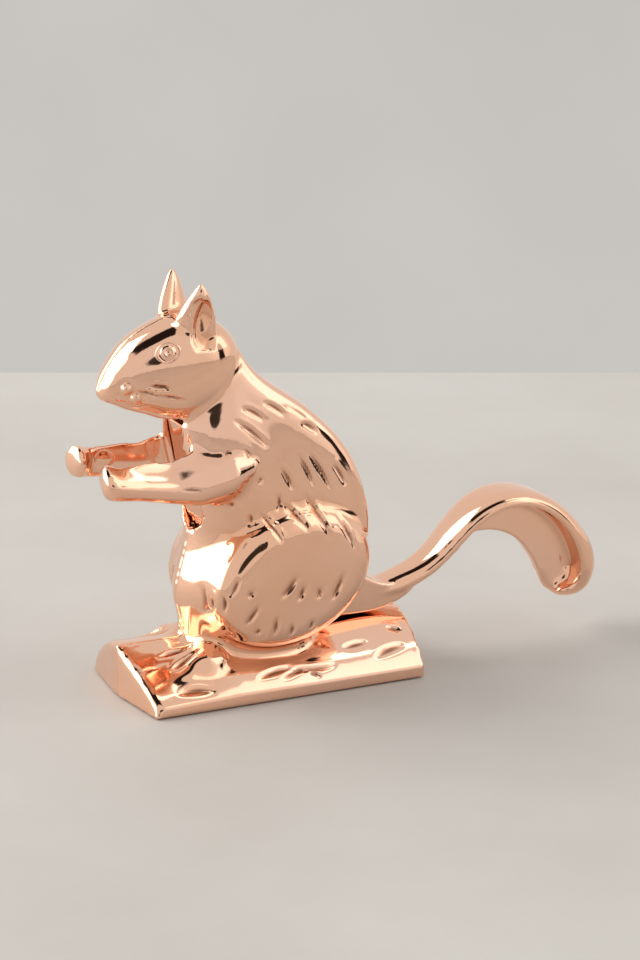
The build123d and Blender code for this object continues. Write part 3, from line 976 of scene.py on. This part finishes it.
@dataclass
class Fasteners:
    """The pivot pin, washers, screws and dowels keep their CAD shapes and get real finishes."""

    def dress(self, nodes: dict[str, bpy.types.Object]) -> None:
        """Gives each small node its finish.

        Args:
            nodes: The CAD nodes by name.
        """
        steel = TurnedMetal("turned_steel").build()
        dark = TurnedMetal("blackened_steel", Metal.DARK_STEEL).build()
        nylon = Nylon().build()
        for name, node in nodes.items():
            finish = None
            if name.endswith("washer"):
                finish = nylon
            elif name.endswith("screw"):
                finish = dark
            elif name == "pivot_pin" or name.endswith("dowel"):
                finish = steel
            if finish is not None:
                node.data.materials.clear()
                node.data.materials.append(finish)


def finish_casting(piece: bpy.types.Object, plate: bpy.types.Material) -> None:
    """Smooth-shades a casting and plates it.

    Args:
        piece: The casting.
        plate: The finish.
    """
    piece.data.materials.clear()
    piece.data.materials.append(plate)
    piece.data.polygons.foreach_set("use_smooth", [True] * len(piece.data.polygons))
    piece.data.update()


# ---------------------------------------------------------------- studio
@dataclass(frozen=True)
class SkyPatch:
    """A soft-edged softbox or dark card on the sky that the plating mirrors."""

    colour: tuple[float, float, float]
    # for each limit: an axis, then its dot product where the patch starts and where it is full
    limits: tuple[tuple[tuple[float, float, float], float, float], ...] = ()

    def lay(self, tree: bpy.types.NodeTree, direction: bpy.types.NodeSocket,
            below: bpy.types.NodeSocket | None) -> bpy.types.NodeSocket:
        """Lays the patch over the sky so far.

        Args:
            tree: The world's node tree.
            direction: The direction socket.
            below: The sky so far, or None at the start.

        Returns:
            The sky with the patch.
        """
        if below is None:
            plain = add_node(tree, "ShaderNodeRGB")
            plain.outputs[0].default_value = (*self.colour, 1.0)
            return plain.outputs[0]
        share = None
        for axis, start, full in self.limits:
            dot = add_node(tree, "ShaderNodeVectorMath", {1: tuple(Vector(axis).normalized())},
                           operation="DOT_PRODUCT")
            tree.links.new(direction, dot.inputs[0])
            part = spread(tree, dot.outputs["Value"], start, full)
            if share is not None:
                both = add_node(tree, "ShaderNodeMath", operation="MULTIPLY")
                tree.links.new(share, both.inputs[0])
                tree.links.new(part, both.inputs[1])
                part = both.outputs["Value"]
            share = part
        return blend_colours(tree, share, below, self.colour)


DARK = (0.018, 0.014, 0.013)
SKY = (
    SkyPatch((0.80, 0.775, 0.74)),
    # the big window box, behind and to the left
    SkyPatch((3.0, 2.95, 2.85), (((-0.82, 0.46, 0.25), 0.80, 0.86),)),
    # pale bounce at the right front
    SkyPatch((1.02, 0.99, 0.95), (((0.75, -0.5, 0.45), 0.78, 0.92),)),
    # the long dark card overhead
    SkyPatch(DARK, (((0, 1, 0), -0.30, -0.26), ((0, -1, 0), -0.27, -0.22), ((0, 0, 1), 0.52, 0.60),
                    ((1, 0, 0), -0.62, -0.58), ((-1, 0, 0), -0.20, -0.12))),
    # a narrow lamp over its front half
    SkyPatch((2.4, 2.35, 2.25), (((0, 1, 0), -0.12, -0.09), ((0, -1, 0), 0.0, 0.03), ((0, 0, 1), 0.75, 0.8),
                                ((1, 0, 0), 0.1, 0.14))),
    # the upright dark card at the right front, and the dark round the camera
    SkyPatch(DARK, (((0.60, 0.80, 0), -0.14, -0.10), ((-0.60, -0.80, 0), -0.14, -0.10),
                    ((0, -1, 0), 0.2, 0.3), ((0, 0, -1), -0.5, -0.42))),
    SkyPatch((0.04, 0.034, 0.03), (((-0.26, -0.90, 0.33), 0.976, 0.984),)),
)


@dataclass
class Studio:
    """Camera, pale slab, sky of softboxes and cards, and the lamps."""

    camera_at: tuple[float, float, float] = (-0.485, -1.069, 0.419)
    heading: float = 25.44
    dip: float = 16.56
    lens: float = 135.0
    slab_back: float = 1.58
    slab_front: float = 2.4
    slab_half: float = 3.0
    wall: tuple[float, float, float] = (0.60, 0.575, 0.545)
    wall_cloud: tuple[float, float, float] = (0.54, 0.515, 0.485)
    lamp_colour: tuple[float, float, float] = (1.0, 0.975, 0.94)
    middle: tuple[float, float, float] = (0.03, 0, 0.06)

    def set_camera(self) -> None:
        """Places the camera."""
        data = bpy.data.cameras.new("view_camera")
        data.lens = self.lens
        data.sensor_width = 36.0
        camera = bpy.data.objects.new("view_camera", data)
        bpy.context.scene.collection.objects.link(camera)
        camera.location = self.camera_at
        camera.rotation_euler = self.forward(self.dip).to_track_quat("-Z", "Y").to_euler()
        bpy.context.scene.camera = camera

    def forward(self, dip: float) -> Vector:
        """Works out the viewing direction.

        Args:
            dip: How far it falls below level, in degrees.

        Returns:
            The unit direction.
        """
        turn, fall = math.radians(self.heading), math.radians(dip)
        return Vector((math.sin(turn) * math.cos(fall), math.cos(turn) * math.cos(fall), -math.sin(fall)))

    def lay_slab(self) -> None:
        """Lays the floor, which ends a little behind the object."""
        ahead = self.forward(0.0)
        side = Vector((ahead.y, -ahead.x, 0))
        start = Vector((self.camera_at[0], self.camera_at[1], 0))
        shape = bmesh.new()
        reach = ((-self.slab_front, -1), (-self.slab_front, 1), (self.slab_back, 1), (self.slab_back, -1))
        corners = [start + ahead * a + side * s * self.slab_half for a, s in reach]
        shape.faces.new([shape.verts.new(c) for c in corners])
        bmesh.ops.recalc_face_normals(shape, faces=shape.faces)
        if shape.faces[:][0].normal.z < 0:
            bmesh.ops.reverse_faces(shape, faces=shape.faces)
        mesh = bpy.data.meshes.new("slab")
        shape.to_mesh(mesh)
        shape.free()
        slab = add_object("slab", mesh)
        slab.data.materials.append(PaleSlab().build())

    def light(self) -> None:
        """Sets the sky that the plating mirrors, the plain wall behind the object, and two lamps."""
        world = bpy.data.worlds.new("studio")
        bpy.context.scene.world = world
        world.use_nodes = True
        tree = world.node_tree
        background = tree.nodes["Background"]
        where = add_node(tree, "ShaderNodeTexCoord")
        direction = where.outputs["Generated"]
        colour = None
        for patch in SKY:
            colour = patch.lay(tree, direction, colour)
        seen = add_node(tree, "ShaderNodeLightPath")
        clouds = add_node(tree, "ShaderNodeTexNoise", {"Scale": 5.0, "Detail": 5.0})
        tree.links.new(direction, clouds.inputs["Vector"])
        wall = blend_colours(tree, spread(tree, clouds.outputs["Fac"], 0.35, 0.65),
                             self.wall, self.wall_cloud)
        sky = blend_colours(tree, seen.outputs["Is Camera Ray"], colour, wall)
        tree.links.new(sky, background.inputs["Color"])
        background.inputs["Strength"].default_value = 1.0
        self.lamp("window_box", (-0.75, 0.75, 0.95), 0.9, 7.0)
        self.lamp("fill_box", (0.9, -0.6, 0.9), 1.1, 2.5)

    def lamp(self, name: str, at: tuple[float, float, float], size: float, watts: float) -> None:
        """Hangs one square softbox that looks at the middle of the object.

        Args:
            name: Its name.
            at: Where it hangs, in metres.
            size: Its side.
            watts: Its power.
        """
        data = bpy.data.lights.new(name, "AREA")
        data.size = size
        data.energy = watts
        data.color = self.lamp_colour
        lamp = bpy.data.objects.new(name, data)
        bpy.context.scene.collection.objects.link(lamp)
        lamp.location = at
        lamp.rotation_euler = (Vector(self.middle) - Vector(at)).to_track_quat("-Z", "Y").to_euler()


def main() -> None:
    """Builds the pieces in order and reports each one."""
    logging.basicConfig(level=logging.INFO, format="%(name)s: %(message)s")
    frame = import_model()
    nodes = frame["nodes"]
    bpy.context.scene.view_settings.view_transform = "Standard"
    studio = Studio()
    studio.set_camera()
    studio.lay_slab()
    studio.light()

    plate = CopperPlate().build()
    for side in Side:
        shell = BodyShell(side).build(nodes, plate)
        eye = Eye(side).build(shell, plate)
        LOG.info("%s: %d faces, with %s", shell.name, len(shell.data.polygons), eye.name)
    lever = TailLever().build(nodes, plate)
    LOG.info("%s: %d faces", lever.name, len(lever.data.polygons))
    pad = FeltPad().build(nodes, Felt().build())
    LOG.info("%s: %d faces", pad.name, len(pad.data.polygons))
    Fasteners().dress(nodes)


if __name__ == "__main__":
    main()
